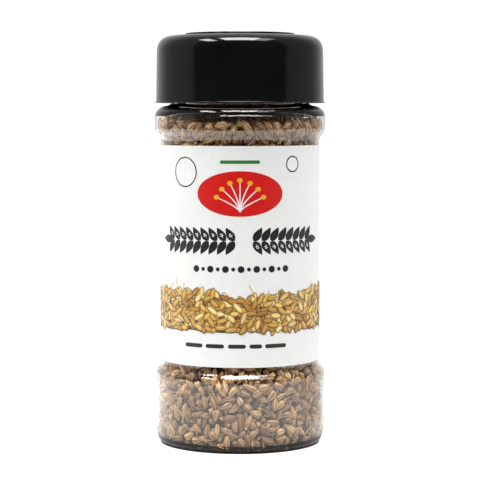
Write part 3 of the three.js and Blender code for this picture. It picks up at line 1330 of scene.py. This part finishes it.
def make_core(material):
    """The inside of the heap, behind the seeds that show."""
    side = wall_radius(CORE_SIDE_HEIGHT) - CORE_DEPTH
    panel = PANEL_RADIUS - WALL - CORE_GAP
    edge = panel - CORE_DEPTH + CORE_EDGE
    base = BASE + CORE_LIFT
    top = HEAP_TOP - CORE_DEPTH
    outline = [
        *[(r, z + CORE_LIFT) for r, z in FLOOR_LINE],
        (STAND_RING_OUTER, base),
        *[(side + out, base + up) for out, up in CORE_FOOT],
        (side, LOWER_BUMPER_TOP),
        (edge, PANEL_BOTTOM + CORE_LOWER_STEP[0]),
        (panel, PANEL_BOTTOM + CORE_LOWER_STEP[1]),
        (panel, PANEL_TOP - CORE_UPPER_STEP[0]),
        (edge, PANEL_TOP - CORE_UPPER_STEP[1]),
        (edge, top - CORE_EDGE),
        *[(r, top) for r in np.arange(panel - CORE_DEPTH - 1, 1.0, -CORE_TOP_STEP)],
        (0, top),
    ]
    core = lathe("seed_core", outline, CORE_SIDES, material)
    for vertex in core.data.vertices:
        x, y, z = vertex.co / MM
        if z > top - 0.1:
            vertex.co.z = float(heap_height(x, y) - CORE_DEPTH) * MM
    finish_piece(core, "seeds", "seeds")


# ---- stalks ----

# Stalks: points along each, sides round it and its radius, how many are tried in which heights,
# the share of them in the upper band, how much thinner each ends, and the least length
STALK_STEPS = 9
STALK_SIZES = dict(Sides=5, Stalk_Radius=0.16 * MM)
STALK_COUNT = 190
STALK_HEIGHTS = ((2.5, 24.0), (84.2, 90.6))
STALK_UPPER_SHARE = 0.3
STALK_THINNING = 0.45
SHORTEST_STALK = 1

# Stalks that show best, as the photograph's pixels at both ends, and how far each bows. They
# lie this far in from the jar's inside.
SEEN_DEPTH = 0.2
SEEN_STALKS = (
    ((273, 406), (302, 393), 0.6),
    ((249, 134), (250, 143), 0.1),
    ((207, 145), (218, 137), 0.3),
    ((291, 118), (305, 134), -0.4),
    ((296, 118), (303, 131), 0.3),
    ((282, 378), (292, 385), 0.2),
    ((238, 126), (240, 119), 0.1),
    ((183, 423), (190, 408), 0.4),
    ((286, 420), (300, 402), -0.7),
    ((243, 371), (246, 384), 0.2),
    ((303, 436), (313, 422), 0.3),
    ((211, 389), (216, 399), 0.2),
)


def pixel_ray(pixel):
    """Where the camera is and which way it looks through a pixel of the photograph."""
    right = (pixel[0] - PHOTO_MIDDLE[0]) / FOCAL_PIXELS
    up = (PHOTO_MIDDLE[1] - pixel[1]) / FOCAL_PIXELS
    cos, sin = math.cos(CAMERA_PITCH), math.sin(CAMERA_PITCH)
    aim = Vector((right, cos + up * sin, up * cos - sin)).normalized()
    return Vector((0, -CAMERA_BACK, CAMERA_HEIGHT)), aim


def on_wall(pixel, depth):
    """The angle and height of the jar's inside that show at a pixel of the photograph."""
    eye, aim = pixel_ray(pixel)
    z = CAMERA_HEIGHT / 2
    for _ in range(6):
        r = float(wall_radius(z)) - depth
        a = aim.x ** 2 + aim.y ** 2
        b = eye.x * aim.x + eye.y * aim.y
        c = eye.x ** 2 + eye.y ** 2 - r * r
        t = (-b - math.sqrt(max(0.0, b * b - a * c))) / a
        spot = eye + aim * t
        z = spot.z
    return math.atan2(spot.y, spot.x), z


def stalk_path(start, end, bow, depth):
    """A bowed line along the jar's inside between two places given as (angle, height)."""
    path = []
    r = float(wall_radius(start[1]))
    across = (end[0] - start[0]) * r
    up = end[1] - start[1]
    length = math.hypot(across, up)
    for i in range(STALK_STEPS):
        t = i / (STALK_STEPS - 1)
        side = bow * (1 - (2 * t - 1) ** 2)
        along = across * t - side * up / length
        z = start[1] + up * t + side * across / length
        angle = start[0] + along / r
        radius = float(wall_radius(z)) - depth
        path.append((radius * math.cos(angle), radius * math.sin(angle), z))
    return path


def random_stalk(random):
    """A stalk's line in one of the clear bands, or none where it would be too short."""
    low, high = STALK_HEIGHTS[int(random.random() < STALK_UPPER_SHARE)]
    start = (random.uniform(0, 2 * math.pi), random.uniform(low, high))
    turn = random.uniform(0, 2 * math.pi)
    length = random.uniform(2.0, 5.5)
    height = min(max(start[1] + length * math.sin(turn), low), high)
    end = (start[0] + length * math.cos(turn) / BUMPER_RADIUS, height)
    if math.hypot((end[0] - start[0]) * BUMPER_RADIUS, end[1] - start[1]) < SHORTEST_STALK:
        return None
    depth = random.uniform(0.2, 1.1)
    return stalk_path(start, end, random.uniform(-0.5, 0.5), depth)


def stalk_lines(random):
    """An object that holds the stalks' lines, with a width at each point."""
    paths = []
    for start, end, bow in SEEN_STALKS:
        places = on_wall(start, SEEN_DEPTH), on_wall(end, SEEN_DEPTH)
        paths.append(stalk_path(*places, bow, SEEN_DEPTH))
    paths += filter(None, [random_stalk(random) for _ in range(STALK_COUNT)])
    points, widths, edges = [], [], []
    for path in paths:
        first = len(points)
        thick = random.uniform(0.6, 1.25)
        points += path
        widths += [thick * (1 - STALK_THINNING * i / STALK_STEPS) for i in range(STALK_STEPS)]
        edges += [(first + i, first + i + 1) for i in range(STALK_STEPS - 1)]
    lines = mesh_object("stalks", points, [], edges=edges)
    add_attribute(lines, "width", "FLOAT", widths)
    return lines


def stalk_tree(material):
    """Sweeps a small round section along each line, as thick as its points say."""
    nodes, given = open_tree("stalk sweep", **STALK_SIZES)
    curve = nodes.add("GeometryNodeMeshToCurve", {"Mesh": given["Geometry"]})
    section = nodes.add("GeometryNodeCurvePrimitiveCircle", {
        "Resolution": given["Sides"], "Radius": given["Stalk Radius"],
    })
    swept = nodes.add("GeometryNodeCurveToMesh", {
        "Curve": curve.outputs[0],
        "Profile Curve": section.outputs[0],
        "Scale": nodes.kept("width", "FLOAT"),
        "Fill Caps": True,
    })
    return close_tree(nodes, swept.outputs[0], material)


def make_stalks(material):
    """Thin dry stalks between the seeds, against the jar's wall."""
    lines = stalk_lines(np.random.default_rng(77))
    stalks = run_tree(lines, stalk_tree(material), "dry_stalks", **STALK_SIZES)
    face_outwards(stalks)
    press_inside(stalks)
    stalks.data.shade_smooth()
    finish_piece(stalks, "seeds", "seeds")


# ---- studio ----

# The floor's edges in metres, how far it lies under the jar in millimetres, and its glow
FLOOR_FRONT = -0.17
FLOOR_BACK = 0.9
FLOOR_HALF = 0.8
FLOOR_DROP = 0.02
FLOOR_GLOW = 1.25

# How far the shadow painted under the jar reaches, in metres, and its edge as shares of that with
# their levels
SHADE_REACH = 0.0229
SHADE_LEVELS = ((0.0, 0.0), (0.98, 0.006), (1.0, 1.0))

# Millimetres to the right, to the back and outwards over which the floor's glow changes, and its
# levels over them as it is seen and as it is mirrored: painted light that falls to the right, and a
# painted reflection that is darker to the back right and near the jar
GLOW_RIGHT = (-30.0, 60.0)
GLOW_BACK = (-30.0, 30.0)
GLOW_OUT = (26.0, 46.0)
SEEN_LEVELS = ((0.0, 1.0), (1.0, 0.84))
MIRRORED_LEVELS = ((0.0, 1.15), (1.0, 0.52))
NEAR_LEVELS = ((0.0, 0.45), (1.0, 1.0))


def make_floor():
    """A plain pale floor that glows, with a painted shadow where the jar covers it."""
    material, nodes, shader, place = new_material("pale floor")
    nodes.fill(shader, Base_Color=(0.08, 0.08, 0.08, 1), Roughness=1.0, Specular_IOR_Level=0.0)
    out = nodes.add("ShaderNodeVectorMath", {0: place}, operation="LENGTH").outputs["Value"]
    # Painted shadow: the floor's glow falls to nothing under the jar
    shade = nodes.grey(nodes.math("DIVIDE", out, SHADE_REACH), *SHADE_LEVELS)
    axes = nodes.axes(place)
    right = nodes.share(axes[0], *GLOW_RIGHT)
    back_right = nodes.math("MULTIPLY", right, nodes.share(axes[1], *GLOW_BACK))
    # Painted reflection: as mirrored, the floor is darker near the jar and to the back right
    near = nodes.grey(nodes.share(out, *GLOW_OUT), *NEAR_LEVELS)
    mirrored = nodes.times(nodes.grey(back_right, *MIRRORED_LEVELS), near)
    path = nodes.add("ShaderNodeLightPath").outputs
    glow = nodes.mix(path["Is Glossy Ray"], nodes.grey(right, *SEEN_LEVELS), mirrored)
    dull = nodes.math("MULTIPLY_ADD", path["Is Diffuse Ray"], -0.25, 1.0)
    colour = nodes.times(shade, nodes.times(glow, dull))
    nodes.fill(shader, Emission_Color=colour, Emission_Strength=FLOOR_GLOW)
    left, near_edge, far_edge = -FLOOR_HALF / MM, FLOOR_FRONT / MM, FLOOR_BACK / MM
    corners = ((left, near_edge), (-left, near_edge), (-left, far_edge), (left, far_edge))
    points = [(x, y, -FLOOR_DROP) for x, y in corners]
    mesh_object("floor", points, [(0, 1, 2, 3)], material)


# Soft boxes over the jar's front: left and right edge in metres, and share of the glow, which is
# in watts for each square metre and steradian
SOFT_BOXES = ((-0.31, 0.3, 1.0), (-0.8, -0.52, 0.8), (0.3, 0.6, 0.3))
SOFT_BOX_FRONT = -0.58
SOFT_BOX_BACK = -0.09
SOFT_BOX_HEIGHT = 1.1
SOFT_BOX_GLOW = 18.0


def make_lamps():
    for i, (left, right, share) in enumerate(SOFT_BOXES):
        lamp = bpy.data.lights.new(f"soft box {i}", "AREA")
        lamp.shape = "RECTANGLE"
        lamp.size = right - left
        lamp.size_y = SOFT_BOX_BACK - SOFT_BOX_FRONT
        lamp.energy = SOFT_BOX_GLOW * share * math.pi * lamp.size * lamp.size_y
        box = new_object(f"soft_box_{i}", lamp)
        middle = (SOFT_BOX_FRONT + SOFT_BOX_BACK) / 2
        box.location = ((left + right) / 2, middle, SOFT_BOX_HEIGHT)
        box.visible_camera = False


# Levels of the surroundings from the front (0) round to the back (1), as the jar mirrors them,
# as they wash over dull things and as they show through the jar. Each level falls to the right.
MIRRORED_ROUND = (
    (0.0, 0.012), (0.355, 0.015), (0.385, 0.25), (0.66, 0.315), (0.82, 0.7), (1.0, 0.74),
)
WASH_ROUND = ((0.24, 0.04), (0.52, 0.79), (1.0, 0.79))
THROUGH_ROUND = ((0.0, 0.012), (0.355, 0.015), (0.385, 0.3), (0.66, 0.35), (0.78, 0.88))
FALL_RIGHT = (-0.08, -0.1, -0.25)
WASH_STRENGTH = (2.3, 2.3, 2.3, 1)
BEHIND = (1.05, 1.05, 1.05, 1)


def make_surroundings():
    """White behind the jar, grey at its sides and dark in front of it, as in a small studio."""
    world = bpy.data.worlds.new("studio")
    scene.world = world
    world.use_nodes = True
    nodes = Nodes(world.node_tree)
    axes = nodes.axes(nodes.add("ShaderNodeTexCoord").outputs["Generated"])
    squares = [nodes.math("MULTIPLY", axis, axis) for axis in (axes[0], axes[1])]
    level = nodes.math("SQRT", nodes.math("ADD", *squares))
    forward = nodes.math("DIVIDE", axes[1], nodes.math("MAXIMUM", level, 0.0001))
    angle = nodes.math("ARCCOSINE", nodes.math("MULTIPLY", forward, -0.9999))
    from_front = nodes.math("DIVIDE", angle, math.pi)
    parts = []
    for levels, fall in zip((MIRRORED_ROUND, WASH_ROUND, THROUGH_ROUND), FALL_RIGHT):
        fading = nodes.math("MULTIPLY_ADD", axes[0], fall, 1.0)
        parts.append(nodes.times(nodes.grey(from_front, *levels), fading))
    mirrored, wash, through = parts
    path = nodes.add("ShaderNodeLightPath").outputs
    colour = nodes.mix(path["Is Transmission Ray"], mirrored, through)
    colour = nodes.mix(path["Is Diffuse Ray"], colour, nodes.times(wash, WASH_STRENGTH))
    colour = nodes.mix(path["Is Camera Ray"], colour, BEHIND)
    nodes.fill(world.node_tree.nodes["Background"], Color=colour, Strength=1.0)


def make_camera():
    lens = bpy.data.cameras.new("camera")
    lens.sensor_width = SENSOR
    lens.lens = SENSOR * FOCAL_PIXELS / PHOTO_SIZE
    lens.clip_start = 0.01
    camera = new_object("camera", lens)
    camera.location = (0, -CAMERA_BACK * MM, CAMERA_HEIGHT * MM)
    camera.rotation_euler = (math.pi / 2 - CAMERA_PITCH, 0, 0)
    scene.camera = camera


# ---- the whole ----

def make_seed_shelf():
    """A collection of the seed kinds, kept out of the scene."""
    shelf = bpy.data.collections.new("seed kinds")
    for i, kind in enumerate(SEED_KINDS):
        thing = seed_kind(f"kind_{i}", **kind)
        scene.collection.objects.unlink(thing)
        shelf.objects.link(thing)
    return shelf


def clear_shelf(shelf):
    for thing in list(shelf.objects):
        bpy.data.objects.remove(thing)
    bpy.data.collections.remove(shelf)


make_camera()
make_floor()
make_lamps()
make_surroundings()
scene.view_settings.view_transform = "Standard"

husk = seed_husk()
shelf = make_seed_shelf()
scatter = scatter_tree(shelf, husk)
make_seeds("seeds_lower", LowerBand, scatter, 5)
make_seeds("seeds_upper", UpperBand, scatter, 6)
clear_shelf(shelf)
make_stalks(straw())
make_core(seed_dust())
make_label(coated_paper())
make_print(printing_ink())
make_cap(black_plastic())
make_jar(clear_plastic())
